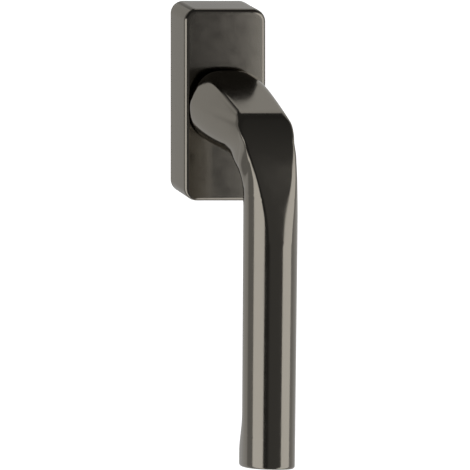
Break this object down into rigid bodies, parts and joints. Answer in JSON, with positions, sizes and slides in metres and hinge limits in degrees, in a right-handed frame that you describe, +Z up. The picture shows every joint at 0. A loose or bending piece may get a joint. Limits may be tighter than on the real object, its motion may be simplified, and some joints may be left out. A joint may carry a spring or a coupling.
{
  "type": "window handle",
  "caption": "Tilt-and-turn window handle: an L-shaped lever with a round grip and a faceted knee, on a slim rectangular rose with a square spindle.",
  "frame": {"origin": "on the spindle axis, in the plane of the window sash that the rose is screwed to", "axes": "+Z up along the rose, -Y out into the room along the spindle, +X to the right seen from the room; the grip hangs down, which is the closed position"},
  "size_m": [0.0284, 0.0788, 0.1514],
  "materials": {
    "gloss_lacquer": "semi-gloss dark umber lacquer on cast aluminium",
    "satin_lacquer": "satin dark umber lacquer on aluminium",
    "zinc_casting": "satin die casting",
    "plated_steel": "zinc-plated steel",
    "spring_steel": "spring steel",
    "black_nylon": "moulded nylon",
    "white_acetal": "moulded acetal"
  },
  "bodies": {
    "base": {"base_plate": "zinc_casting", "detent_ring": "plated_steel", "mechanism_lid": "plated_steel", "lid_screw_upper": "plated_steel", "lid_screw_lower": "plated_steel", "fixing_screw_upper": "plated_steel", "fixing_screw_lower": "plated_steel", "neck_bush": "white_acetal", "thrust_washer": "white_acetal", "cover_clip_upper": "spring_steel", "cover_clip_lower": "spring_steel"},
    "handle": {"lever": "gloss_lacquer", "spindle": "plated_steel", "spindle_cross_pin": "plated_steel", "detent_rotor": "plated_steel", "retaining_ring": "spring_steel", "wave_washer": "spring_steel", "detent_spring_upper": "spring_steel", "detent_spring_lower": "spring_steel"},
    "cover": {"rose_cover": "satin_lacquer", "cover_guide_ring": "black_nylon"},
    "ball_upper": {"detent_ball_upper": "plated_steel"},
    "ball_lower": {"detent_ball_lower": "plated_steel"}
  },
  "joints": [
    {"name": "handle_turn", "type": "hinge", "parent": "base", "child": "handle", "pos_m": [0, 0, 0], "axis": [0, -1, 0], "range_deg": [-180, 180]},
    {"name": "cover_lift", "type": "slide", "parent": "base", "child": "cover", "axis": [0, -1, 0], "range_m": [0, 0.002]},
    {"name": "ball_upper_slide", "type": "slide", "parent": "handle", "child": "ball_upper", "axis": [0, 0, 1], "range_m": [0, 0.0006], "stiffness_N_per_m": 400, "springref_m": 0.0012, "deforming": ["detent_spring_upper"]},
    {"name": "ball_lower_slide", "type": "slide", "parent": "handle", "child": "ball_lower", "axis": [0, 0, -1], "range_m": [0, 0.0006], "stiffness_N_per_m": 400, "springref_m": 0.0012, "deforming": ["detent_spring_lower"]}
  ]
}
